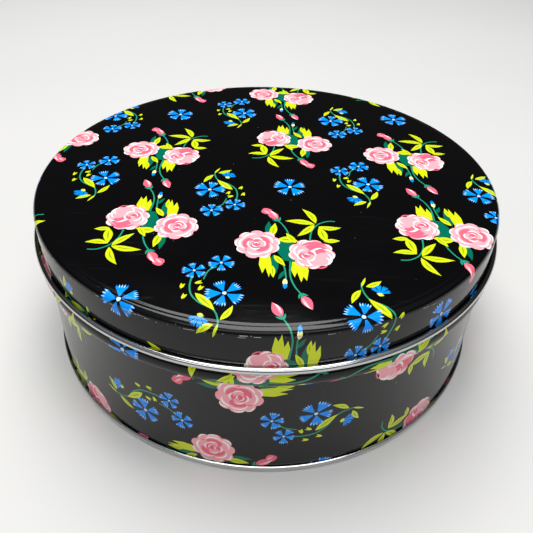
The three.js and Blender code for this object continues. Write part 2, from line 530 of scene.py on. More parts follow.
def rose(spiral: bool) -> Artwork:
    """Draws a garden rose of radius 10, as rings of overlapping petals.

    Args:
        spiral: True for one that shows its heart, False for one that leans over.

    Returns:
        The drawing.
    """
    art = Artwork()
    art.add(Ink.ROSE_LIGHT, lobed(0, 0, 10.0, 9, 0.13, 14))
    for i in range(9):
        angle = 14 + 360 * (i + 0.5) / 9 + (5 if i % 2 else -4)
        size = 2.9 if i % 2 else 2.4
        x, y = (9.9 - size) * math.cos(math.radians(angle)), (9.9 - size) * math.sin(math.radians(angle))
        if i % 4 != 1:
            art.add(Ink.WHITE, crescent(x, y, size, angle + 10, 74, 0.8))
        if i % 3 != 2:
            art.add(Ink.ROSE_MID, crescent(x, y, size * 0.95, angle + 160, 64, 0.95))
    hx, hy = (-0.4, 0.2) if spiral else (-2.2, -1.2)
    if spiral:
        rings = ((5, 3.9, 3.9, 20, 1.0), (4, 1.9, 2.3, 62, 0.75))
    else:
        petal(art, 1.2, 3.4, 5.4, 96, Ink.ROSE_MID, 0.0)
        art.add(Ink.WHITE, crescent(-0.6, 5.2, 3.6, 108, 50, 0.7))
        art.add(Ink.ROSE_MID, crescent(1.4, 2.2, 6.2, 88, 66, 2.1))
        petal(art, -4.3, 1.6, 3.6, 170, Ink.ROSE_LIGHT, 1.0)
        petal(art, 4.0, -3.4, 4.6, -20, Ink.ROSE_LIGHT, 1.0)
        art.add(Ink.ROSE_MID, crescent(4.4, -2.6, 4.3, 128, 60, 1.3))
        petal(art, -2.4, -4.6, 3.9, 230, Ink.ROSE_LIGHT, 0.9)
        art.add(Ink.WHITE, crescent(3.8, -0.6, 4.6, 140, 66, 1.25))
        rings = ((4, 2.0, 2.3, 30, 0.8),)
    for count, reach, size, turn, edge in rings:
        for i in range(count):
            angle = turn + 360 * i / count + (10 if i % 2 else -7)
            x = hx + reach * math.cos(math.radians(angle))
            y = hy + reach * math.sin(math.radians(angle))
            petal(art, x, y, size, angle, Ink.ROSE_MID if i % 2 == 0 else Ink.ROSE_LIGHT, edge)
    if not spiral:
        for x, y, radius, middle, ink in (
            (3.2, -6.4, 3.4, -62, Ink.ROSE_MID),
            (4.6, -5.0, 3.0, 10, Ink.WHITE),
            (6.2, 0.6, 2.6, 60, Ink.WHITE),
            (-1.4, -7.0, 2.4, -110, Ink.ROSE_MID),
            (0.8, -5.2, 2.8, 205, Ink.WHITE),
        ):
            art.add(ink, crescent(x, y, radius, middle, 58, 0.75))
    art.add(Ink.ROSE_MID, lobed(hx, hy, 1.8, 4, 0.15, 20))
    art.add(Ink.WHITE, crescent(hx - 0.3, hy - 0.4, 1.8, 215, 70, 0.55))
    art.add(Ink.WHITE, crescent(hx, hy, 1.2, 70, 95, 0.6))
    art.add(Ink.ROSE_DEEP, crescent(hx, hy, 0.9, 240, 60, 0.4))
    return art


def cornflower(petals: int) -> Artwork:
    """Draws a cornflower of radius 10 with fringed, wedge-shaped petals.

    Args:
        petals: how many petals.

    Returns:
        The drawing.
    """
    art = Artwork()
    for i in range(petals):
        angle = 90 + 360 * i / petals
        half = 118 / petals + (2.5 if i % 2 else -1.5)
        reach = 9.3 + (0.7 if i % 2 else 0.0)
        teeth = 5
        outline = [(1.8, angle - 13), (0.6 * reach, angle - half * 0.9)]
        for k in range(2 * teeth + 1):
            share = k / (2 * teeth)
            radius = reach if k % 2 else reach * 0.83
            outline.append((radius, angle - half + 2 * half * share))
        outline += [(0.6 * reach, angle + half * 0.9), (1.8, angle + 13)]
        around = [(r, math.radians(a)) for r, a in outline]
        art.add(Ink.BLUE, [(r * math.cos(a), r * math.sin(a)) for r, a in around])
        for k in range(teeth):
            a = math.radians(angle - half + 2 * half * (2 * k + 1) / (2 * teeth))
            tip = (reach * 0.985 * math.cos(a), reach * 0.985 * math.sin(a))
            base = (reach * 0.74 * math.cos(a), reach * 0.74 * math.sin(a))
            if (k + i) % 4:
                art.add(Ink.BLUE_PALE, almond(base, tip, reach * 0.05))
    art.add(Ink.BLUE_PALE, lobed(0, 0, 1.15, 5, 0.1, 0))
    return art


def side_cornflower() -> Artwork:
    """Draws a half-open cornflower of radius 10 that opens downwards, with its cup."""
    art = Artwork()
    for angle, reach, half in ((-150, 8.5, 13), (-115, 9.5, 15), (-78, 10.0, 15), (-42, 8.8, 13)):
        outline = [(1.0, angle - 20)]
        for k in range(7):
            outline.append((reach if k % 2 else reach * 0.82, angle - half + 2 * half * k / 6))
        outline.append((1.0, angle + 20))
        around = [(r, math.radians(a)) for r, a in outline]
        art.add(Ink.BLUE, [(r * math.cos(a), 2 + r * math.sin(a)) for r, a in around])
    art.add(Ink.LEAF, almond((-2.6, 3.4), (2.8, 1.8), 3.6))
    art.add(Ink.CREAM, almond((-1.2, 3.6), (1.8, 2.8), 1.3))
    return art


def bud(lean: bool) -> Artwork:
    """Draws a rosebud that grows upwards from the origin, 8 long, on its green cup."""
    art = Artwork()
    art.add(Ink.ROSE_MID, almond((0, 0.0), (0.3, 7.6), 3.6))
    if lean:
        art.add(Ink.ROSE_MID, lobed(-0.6, 7.2, 2.1, 4, 0.12, 30))
        art.add(Ink.ROSE_LIGHT, almond((-0.4, 5.0), (-1.2, 8.6), 1.1))
    art.add(Ink.ROSE_LIGHT, almond((0.6, 1.2), (0.6, 6.4), 1.2, -0.3))
    art.add(Ink.WHITE, almond((1.0, 3.0), (0.4, 7.2), 0.45, -0.4))
    for tip in ((-1.9, 1.3), (0.1, 1.7), (1.9, 1.1)):
        art.add(Ink.STEM, almond((0, -1.2), tip, 0.9))
    return art


def rose_spray() -> Artwork:
    """Draws two roses with leaves, buds and a sprig, about its own centre."""
    art = Artwork()
    art.add(Ink.STEM, ribbon([(9.0, 4.5), (9.9, 10.0), (12.4, 14.4), (16.0, 16.6), (19.2, 16.8)], 0.6, 0.5))
    art.add(Ink.STEM, ribbon([(1.5, 6.0), (0.9, 9.6), (-0.7, 13.6), (-2.6, 16.6)], 0.6, 0.5))
    art.add(Ink.STEM, ribbon([(-1.0, -8.5), (-0.3, -12.5), (0.0, -17.0)], 0.6, 0.5))
    art.add(Ink.STEM, ribbon([(1.7, -7.0), (1.4, -15.0), (2.6, -20.2), (4.8, -24.4)], 0.65, 0.5))
    art.add(Ink.FERN, [(-2.5, 5.0), (2.8, 4.6), (3.4, -1.0), (3.4, -8.2), (-0.6, -7.4), (-3.2, -2.0)])
    art.add(Ink.FERN, almond((-6.4, 7.2), (-6.0, 16.0), 2.4))
    art.add(Ink.FERN, almond((-4.4, -4.5), (-3.4, -14.6), 3.0))
    art.add(Ink.FERN, almond((-0.4, -12.8), (-2.6, -17.4), 1.5))
    art.leaf((-4.9, 6.4), (-3.6, 14.8), 2.8)
    art.leaf((-2.8, 4.6), (4.8, 3.6), 3.6, 0.5)
    art.leaf((3.8, 2.6), (0.4, 8.6), 2.4)
    art.leaf((-4.1, -4.6), (-0.2, -10.4), 2.4)
    art.leaf((-4.7, -10.2), (-4.3, -16.6), 1.9)
    art.leaf((14.8, 4.0), (12.9, 13.2), 3.4)
    art.leaf((14.0, 4.2), (20.0, 4.6), 2.4)
    art.leaf((12.7, 13.2), (21.2, 12.8), 2.6, -0.9)
    art.leaf((11.4, 14.6), (0.2, 16.4), 3.0, -0.6)
    art.leaf((11.2, 14.4), (4.5, 6.8), 2.8, 0.4)
    art.leaf((11.8, 15.2), (6.9, 24.8), 2.8, -1.0)
    art.add(Ink.LEAF, crown((-7.2, -5.0), -88, 12.4, 4.4, 2))
    art.add(Ink.LEAF, crown((4.6, -8.0), -88, 11.4, 6.0, 3))
    art.add(Ink.CREAM, almond((-0.3, -16.8), (-0.5, -21.0), 1.7))
    art.add(Ink.BLUE, almond((-0.3, -19.2), (-0.5, -22.0), 1.5))
    art.stamp(bud(True), -2.7, 17.0, 32)
    art.stamp(bud(False), 5.0, -24.8, 208, 0.95)
    art.stamp(rose(True), -10.0, 1.7, 20, 0.83)
    art.stamp(rose(False), 9.2, -3.2, 0, 0.83)
    return art


def cornflower_spray() -> Artwork:
    """Draws a spray of four cornflowers on a curved stem, about its largest flower."""
    art = Artwork()
    art.add(
        Ink.STEM,
        ribbon(
            [(-11.2, 8.6), (-11.6, 3.6), (-10.6, -1.0), (-7.6, -4.6), (-2.9, -7.6), (-1.1, -12.0), (-1.2, -15.4)],
            0.6,
            0.55,
        ),
    )
    art.add(Ink.STEM, ribbon([(-3.6, 13.0), (-6.2, 10.8), (-7.4, 6.4)], 0.55, 0.45))
    art.add(Ink.LEAF, almond((-0.9, -13.6), (-2.9, -18.2), 0.9))
    art.leaf((-9.4, -0.3), (-2.4, -8.0), 2.9, 0.2)
    art.leaf((-0.5, -12.0), (3.1, -5.6), 2.2, -0.4)
    art.leaf((-2.4, -13.6), (-8.0, -16.6), 2.2, -0.4)
    for x, y, turn in ((-14.0, 3.0, 80), (-12.8, -1.9, 70), (-8.8, 4.8, 20), (-7.9, 2.2, 65)):
        for side in (-1, 1):
            a = math.radians(turn + 15 * side)
            base = (x - 1.4 * math.cos(math.radians(turn)), y - 1.4 * math.sin(math.radians(turn)))
            tip = (base[0] + 2.7 * math.cos(a), base[1] + 2.7 * math.sin(a))
            art.add(Ink.LEAF, almond(base, tip, 1.0, -0.15 * side))
    art.stamp(cornflower(5), -11.0, 10.8, 18, 0.43)
    art.stamp(cornflower(5), -2.2, 15.2, 40, 0.47)
    art.stamp(side_cornflower(), -6.8, -11.2, -10, 0.44)
    art.stamp(cornflower(5), 0.0, 0.0, 24, 0.66)
    return art


@dataclass(frozen=True)
class Repeat:
    """The print's half-drop repeat: one rose spray, one cornflower spray and both turned upside down.

    Attributes:
        across: distance between two columns.
        drop: how far the next column is dropped.
        rose_place: the rose spray, from the single flower that the repeat turns about.
        spray_place: the cornflower spray, from the same flower.
        strays: cells whose turned sprays are off their places, as column, row and how far across and up.
    """

    across: float = 55.6
    drop: float = 69.4
    rose_place: tuple[float, float] = (-2.5, -41.2)
    spray_place: tuple[float, float] = (33.2, 3.6)
    strays: tuple[tuple[int, int, float, float], ...] = ()

    def cell(self, stray: tuple[float, float]) -> Artwork:
        """Draws everything in one repeat.

        Args:
            stray: how far the sprays that are upside down stand off their places.

        Returns:
            The drawing.
        """
        art = Artwork()
        for sign, turn, (dx, dy) in ((1, 0, (0.0, 0.0)), (-1, 180, stray)):
            rx, ry = self.rose_place
            sx, sy = self.spray_place
            art.stamp(rose_spray(), rx * sign + dx, ry * sign + dy, turn)
            art.stamp(cornflower_spray(), sx * sign + dx, sy * sign + dy, turn)
        art.stamp(cornflower(5), 0.0, 0.0, 0.0, 0.7)
        return art

    def spread(self, x: float, y: float, turn: float, reach: float) -> Artwork:
        """Repeats the cell over the sheet.

        Args:
            x, y: where one of the single flowers goes.
            turn: how far the whole print is turned, in degrees.
            reach: how far the sheet reaches.

        Returns:
            The whole print.
        """
        cell = self.cell((0.0, 0.0))
        moved = {(i, j): self.cell((dx, dy)) for i, j, dx, dy in self.strays}
        art = Artwork()
        a = math.radians(turn)
        steps = math.ceil(reach / self.across) + 2
        for i in range(-steps, steps + 1):
            for j in range(-steps, steps + 1):
                if (i + j) % 2:
                    continue
                u, v = i * self.across, j * self.drop
                over = x + u * math.cos(a) - v * math.sin(a)
                up = y + u * math.sin(a) + v * math.cos(a)
                art.stamp(moved.get((i, j), cell), over, up, turn)
        return art


# ------------------------------------------------------------------ bent sheets


class SheetLine:
    """Middle line of a bent sheet in the (radius, height) plane, in mm."""

    STEP = 12.0  # degrees between points of a bend

    def __init__(self, r: float, z: float) -> None:
        """Starts the line."""
        self.points: Outline = [(r, z)]

    def to(self, r: float, z: float) -> "SheetLine":
        """Goes straight to a point."""
        self.points.append((r, z))
        return self

    def bend(self, r: float, z: float, radius: float, start: float, end: float) -> "SheetLine":
        """Follows an arc.

        Args:
            r, z: its centre.
            radius: its radius.
            start, end: its angles in degrees; 0 is outwards and 90 is up.

        Returns:
            The line itself.
        """
        steps = max(3, round(abs(end - start) / self.STEP))
        for i in range(steps + 1):
            a = math.radians(start + (end - start) * i / steps)
            point = (r + radius * math.cos(a), z + radius * math.sin(a))
            if math.dist(point, self.points[-1]) > 1e-6:
                self.points.append(point)
        return self

    def softened(self, reach: float) -> np.ndarray:
        """Rounds off every corner sharper than a bend's own steps.

        Args:
            reach: how far from the corner the rounding starts.

        Returns:
            The points.
        """
        points = [np.array(p) for p in self.points]
        line = [points[0]]
        for before, corner, after in zip(points, points[1:], points[2:]):
            a, b = corner - before, after - corner
            la, lb = np.linalg.norm(a), np.linalg.norm(b)
            turn = math.degrees(math.acos(max(-1.0, min(1.0, float(a @ b) / (la * lb)))))
            if turn < 1.3 * self.STEP:
                line.append(corner)
                continue
            start = corner - a / la * min(reach, la * 0.45)
            end = corner + b / lb * min(reach, lb * 0.45)
            for t in (0.0, 0.25, 0.5, 0.75, 1.0):
                line.append(start * (1 - t) ** 2 + corner * 2 * t * (1 - t) + end * t * t)
        return np.array([*line, points[-1]])


def unit_normals(points: np.ndarray) -> np.ndarray:
    """Normals to the left of a line, one for each point, long enough to keep a mitred offset even."""
    along = np.diff(points, axis=0)
    along /= np.linalg.norm(along, axis=1)[:, None]
    left = np.stack([-along[:, 1], along[:, 0]], 1)
    before, after = np.vstack([left[:1], left]), np.vstack([left, left[-1:]])
    middle = before + after
    middle /= np.linalg.norm(middle, axis=1)[:, None]
    return middle / np.sum(middle * after, axis=1)[:, None]


class PrintedSide:
    """The printed side of a turned sheet, as the flat sheet was before it was bent."""

    def __init__(self, points: np.ndarray, left: bool) -> None:
        """Measures the side.

        Args:
            points: its line in the (radius, height) plane.
            left: True if the printed side faces the left of the line.
        """
        self.points = points
        self.along = np.concatenate([[0.0], np.cumsum(np.linalg.norm(np.diff(points, axis=0), axis=1))])
        normals = unit_normals(points) * (1 if left else -1)
        self.normals = normals / np.linalg.norm(normals, axis=1)[:, None]

    def place(self, along: np.ndarray) -> tuple[np.ndarray, np.ndarray]:
        """Finds the point and normal for each distance along the line.

        Args:
            along: the distances.

        Returns:
            The (radius, height) points, and the normals.
        """
        spots = np.stack([np.interp(along, self.along, self.points[:, i]) for i in (0, 1)], 1)
        normals = np.stack([np.interp(along, self.along, self.normals[:, i]) for i in (0, 1)], 1)
        return spots, normals / np.linalg.norm(normals, axis=1)[:, None]


@dataclass
class FlatPrint:
    """The print cut along every outline and guide line, as triangles on the flat sheet.

    Attributes:
        points: the flat points.
        triangles: point numbers, three to a triangle, anticlockwise.
        inks: slot number of each triangle.
    """

    points: np.ndarray
    triangles: np.ndarray
    inks: np.ndarray

    @staticmethod
    def cut(art: Artwork, guides: np.ndarray, edges: list[tuple[int, int]]) -> "FlatPrint":
        """Cuts the sheet.

        Args:
            art: the shapes, already inside the sheet.
            guides: points of the guide lines.
            edges: pairs of guide points that are joined.

        Returns:
            The flat print.
        """
        points = [Vector(p) for p in guides]
        joined = list(edges)
        for _, outline in art.shapes:
            first, count = len(points), len(outline)
            points += [Vector(p) for p in outline]
            joined += [(first + i, first + (i + 1) % count) for i in range(count)]
        made, _, triangles, _, _, _ = delaunay_2d_cdt(points, joined, [], 0, 1e-5, False)
        flat = np.array([tuple(p) for p in made])
        corners = np.array([tuple(t) for t in triangles])
        a, b, c = flat[corners[:, 0]], flat[corners[:, 1]], flat[corners[:, 2]]
        area = (b[:, 0] - a[:, 0]) * (c[:, 1] - a[:, 1]) - (b[:, 1] - a[:, 1]) * (c[:, 0] - a[:, 0])
        corners[area < 0] = corners[area < 0][:, ::-1]
        return FlatPrint(flat, corners, FlatPrint.inked(art, (a + b + c) / 3))

    @staticmethod
    def inked(art: Artwork, spots: np.ndarray) -> np.ndarray:
        """Finds the topmost ink at each spot.

        Args:
            art: the shapes, in the order they were laid down.
            spots: points of the flat sheet.

        Returns:
            A slot number for each spot.
        """
        order = np.argsort(spots[:, 0])
        x, y = spots[order].T
        inks = np.full(len(spots), Ink.GROUND.value)
        for ink, outline in art.shapes:
            low, high = outline.min(0), outline.max(0)
            start, end = np.searchsorted(x, [low[0], high[0]])
            near = order[start:end][(y[start:end] > low[1]) & (y[start:end] < high[1])]
            px, py = spots[near].T
            inside = np.zeros(len(near), bool)
            for (ax, ay), (bx, by) in zip(outline, np.roll(outline, -1, axis=0)):
                if ay != by:
                    inside ^= ((ay > py) != (by > py)) & (px < (bx - ax) * (py - ay) / (by - ay) + ax)
            inks[near[inside]] = ink.value
        return inks


def turned_sheet_tree() -> bpy.types.NodeTree:
    """Builds the node tree that turns an outline about the Z axis.

    The outline is a mesh of points in order, with the radius as X and the height as Z.

    Returns:
        The tree, with inputs Segments, Start Angle, First Printed Rows, Last Printed Rows and two finishes.
    """
    tree = bpy.data.node_groups.new("turned_sheet", "GeometryNodeTree")
    socket(tree, "Outline", "NodeSocketGeometry")
    socket(tree, "Segments", "NodeSocketInt", value=SPOKES)
    socket(tree, "Start Angle", "NodeSocketFloat", value=0.0)
    socket(tree, "First Printed Rows", "NodeSocketInt", value=0)
    socket(tree, "Last Printed Rows", "NodeSocketInt", value=0)
    socket(tree, "Bare Finish", "NodeSocketMaterial")
    socket(tree, "Printed Finish", "NodeSocketMaterial")
    socket(tree, "Sheet", "NodeSocketGeometry", output=True)
    given = node(tree, "NodeGroupInput").outputs

    def maths(operation: str, first, second) -> bpy.types.NodeSocket:
        """One sum."""
        return node(tree, "ShaderNodeMath", {0: first, 1: second}, operation=operation).outputs[0]

    rows = node(tree, "GeometryNodeAttributeDomainSize", {0: given["Outline"]}).outputs["Point Count"]
    columns = maths("ADD", given["Segments"], 1.0)
    grid = node(tree, "GeometryNodeMeshGrid", {"Vertices X": columns, "Vertices Y": rows})
    index = node(tree, "GeometryNodeInputIndex").outputs[0]
    column = maths("FLOOR", maths("DIVIDE", maths("ADD", index, 0.5), rows), 0.0)
    row = maths("SUBTRACT", index, maths("MULTIPLY", column, rows))
    spot = node(
        tree,
        "GeometryNodeSampleIndex",
        {"Geometry": given["Outline"], "Index": row},
        data_type="FLOAT_VECTOR",
    )
    tree.links.new(node(tree, "GeometryNodeInputPosition").outputs[0], spot.inputs["Value"])
    parts = node(tree, "ShaderNodeSeparateXYZ", {0: spot.outputs[0]}).outputs
    share = maths("DIVIDE", maths("MULTIPLY", column, math.tau), given["Segments"])
    angle = maths("ADD", share, given["Start Angle"])
    x = maths("MULTIPLY", parts["X"], maths("COSINE", angle, 0.0))
    y = maths("MULTIPLY", parts["X"], maths("SINE", angle, 0.0))
    place = node(tree, "ShaderNodeCombineXYZ", {0: x, 1: y, 2: parts["Z"]}).outputs[0]
    numbered = {"Geometry": grid.outputs["Mesh"], "Name": "row", "Value": row}
    kept = node(tree, "GeometryNodeStoreNamedAttribute", numbered)
    moved = node(tree, "GeometryNodeSetPosition", {"Geometry": kept.outputs[0], "Position": place})
    welded = node(tree, "GeometryNodeMergeByDistance", {"Geometry": moved.outputs[0], "Distance": 1e-7})
    smooth = node(tree, "GeometryNodeSetShadeSmooth", {"Geometry": welded.outputs[0], "Shade Smooth": True})
    whole = node(tree, "GeometryNodeRealizeInstances", {"Geometry": smooth.outputs[0]})
    unprinted = {"Geometry": whole.outputs[0], "Material": given["Bare Finish"]}
    bare = node(tree, "GeometryNodeSetMaterial", unprinted)
    at = node(tree, "GeometryNodeInputNamedAttribute", {"Name": "row"}).outputs["Attribute"]
    early = maths("LESS_THAN", at, given["First Printed Rows"])
    last_row = maths("SUBTRACT", rows, 1.0)
    late = maths("GREATER_THAN", at, maths("SUBTRACT", last_row, given["Last Printed Rows"]))
    chosen = node(
        tree,
        "GeometryNodeSetMaterial",
        {
            "Geometry": bare.outputs[0],
            "Selection": maths("ADD", early, late),
            "Material": given["Printed Finish"],
        },
    )
    tree.links.new(chosen.outputs[0], node(tree, "NodeGroupOutput").inputs["Sheet"])
    return tree


@dataclass
class Workshop:
    """What every piece of the tin is made with.

    Attributes:
        inks: the ink materials, in slot order.
        tin: the bare tinplate material.
        turning: the tree that turns an outline.
    """

    inks: list[bpy.types.Material]
    tin: bpy.types.Material
    turning: bpy.types.NodeTree

    @staticmethod
    def fitted_out() -> "Workshop":
        """Makes the finishes and the tree."""
        varnish = varnish_group()
        inks = [INKS[ink].material(varnish) for ink in Ink if ink is not Ink.TIN]
        return Workshop(inks, BARE_TIN.material(rolled_grain_group()), turned_sheet_tree())

    def turn(self, outline: np.ndarray, first: int = 0, last: int = 0) -> bpy.types.Mesh:
        """Turns an outline about the axis.

        Args:
            outline: points in the (radius, height) plane, in mm, anticlockwise.
            first: how many rows at the start are printed black.
            last: how many rows at the end are printed black.

        Returns:
            The mesh, in metres. Its first material is the bare tin and the second the black ground.
        """
        wire = bpy.data.meshes.new("outline")
        wire.from_pydata([(r * MM, 0.0, z * MM) for r, z in outline], [], [])
        holder = bpy.data.objects.new("outline", wire)
        bpy.context.collection.objects.link(holder)
        modifier = holder.modifiers.new("turned", "NODES")
        modifier.node_group = self.turning
        values = {
            "Segments": SPOKES,
            "Start Angle": math.radians(SEAM_ANGLE),
            "First Printed Rows": first,
            "Last Printed Rows": last,
            "Bare Finish": self.tin,
            "Printed Finish": self.inks[Ink.GROUND.value],
        }
        for item in self.turning.interface.items_tree:
            if item.in_out == "INPUT" and item.name in values:
                modifier[item.identifier] = values[item.name]
        evaluated = holder.evaluated_get(bpy.context.evaluated_depsgraph_get())
        mesh = bpy.data.meshes.new_from_object(evaluated)
        mesh.attributes.remove(mesh.attributes["row"])
        bpy.data.objects.remove(holder)
        bpy.data.meshes.remove(wire)
        return mesh


def piece(name: str, mesh: bpy.types.Mesh, body: str, stands_for: str) -> bpy.types.Object:
    """Puts a finished mesh in the scene.

    Args:
        name: the piece's name.
        mesh: its mesh, in place.
        body: the body it moves with.
        stands_for: the CAD node it replaces.

    Returns:
        The object.
    """
    made = bpy.data.objects.new(name, mesh)
    bpy.context.collection.objects.link(made)
    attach(made, body)
    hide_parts(stands_for)
    log.info("%s: %d faces on %s", name, len(mesh.polygons), body)
    return made


def printed_shell(
    name: str, flat: FlatPrint, points: np.ndarray, normals: np.ndarray, rest: bpy.types.Mesh, shop: Workshop
) -> bpy.types.Mesh:
    """Joins the printed side to the rest of its sheet.

    Args:
        name: the mesh's name.
        flat: the cut print.
        points: where its points go, in metres.
        normals: their normals.
        rest: the rest of the sheet, whose edges meet the print's edges.
        shop: the finishes.

    Returns:
        One closed mesh.
    """
    tree = KDTree(len(points))
    for i, point in enumerate(points):
        tree.insert(point, i)
    tree.balance()
    corner = list(range(len(points)))
    used: dict[int, int] = {}
    for i, point in enumerate(points):  # the two sides of the cut at the back are one edge
        for _, j, _ in tree.find_range(point, SAME_POINT):
            if j < i:
                corner[i] = corner[j]
                break
    own: dict[int, int] = {}
    for i, target in enumerate(corner):
        if target == i:
            own[i] = len(own)
    spots = [tuple(points[i]) for i in own]
    facing = [tuple(normals[i]) for i in own]
    for i, target in enumerate(corner):
        used[i] = own[target]
    faces: list[tuple[int, ...]] = []
    slots: list[int] = []
    for triangle, ink in zip(flat.triangles, flat.inks):
        face = tuple(used[int(i)] for i in triangle)
        if len(set(face)) == 3:
            faces.append(face)
            slots.append(int(ink))
    # A sliver on the print's edge can fold back on its neighbour; such pairs enclose nothing and go.
    count = Counter(frozenset(face) for face in faces)
    single = [count[frozenset(face)] % 2 == 1 for face in faces]
    faces = list(compress(faces, single))
    slots = list(compress(slots, single))
    printed = len(spots)
    link: dict[int, int] = {}
    for vertex in rest.vertices:
        _, nearest, distance = tree.find(vertex.co)
        if distance < SAME_EDGE:
            link[vertex.index] = used[nearest]
        else:
            link[vertex.index] = len(spots)
            spots.append(tuple(vertex.co))
    for polygon in rest.polygons:
        faces.append(tuple(link[i] for i in polygon.vertices))
        bare = rest.materials[polygon.material_index] == shop.tin
        slots.append(Ink.TIN.value if bare else Ink.GROUND.value)
    mesh = bpy.data.meshes.new(name)
    mesh.from_pydata(spots, [], faces)
    for material in (*shop.inks, shop.tin):
        mesh.materials.append(material)
    mesh.polygons.foreach_set("material_index", slots)
    mesh.polygons.foreach_set("use_smooth", [True] * len(faces))
    mesh.update()
    for vertex in mesh.vertices[printed:]:
        facing.append(tuple(vertex.normal))
    mesh.normals_split_custom_set_from_vertices(facing)
    bpy.data.meshes.remove(rest)
    return mesh


def wear(art: Artwork, spots: list[tuple[float, float]], rng: random.Random, size: float) -> None:
    """Adds chips and specks where the print has been knocked off.

    Args:
        art: the print that gets them.
        spots: where they go.
        rng: the seeded chance they are shaped by.
        size: their usual size in mm.
    """
    for x, y in spots:
        corners = rng.randint(4, 6)
        radius = size * rng.uniform(0.5, 1.3)
        flat = rng.uniform(0.35, 0.8)
        turn = rng.uniform(0.0, math.tau)
        outline = []
        for k in range(corners):
            a = math.tau * k / corners
            r = radius * rng.uniform(0.7, 1.1)
            u, v = r * math.cos(a), r * flat * math.sin(a)
            over = x + u * math.cos(turn) - v * math.sin(turn)
            up = y + u * math.sin(turn) + v * math.cos(turn)
            outline.append((over, up))
        art.add(Ink.CHIP, outline)


# ------------------------------------------------------------------ the tin


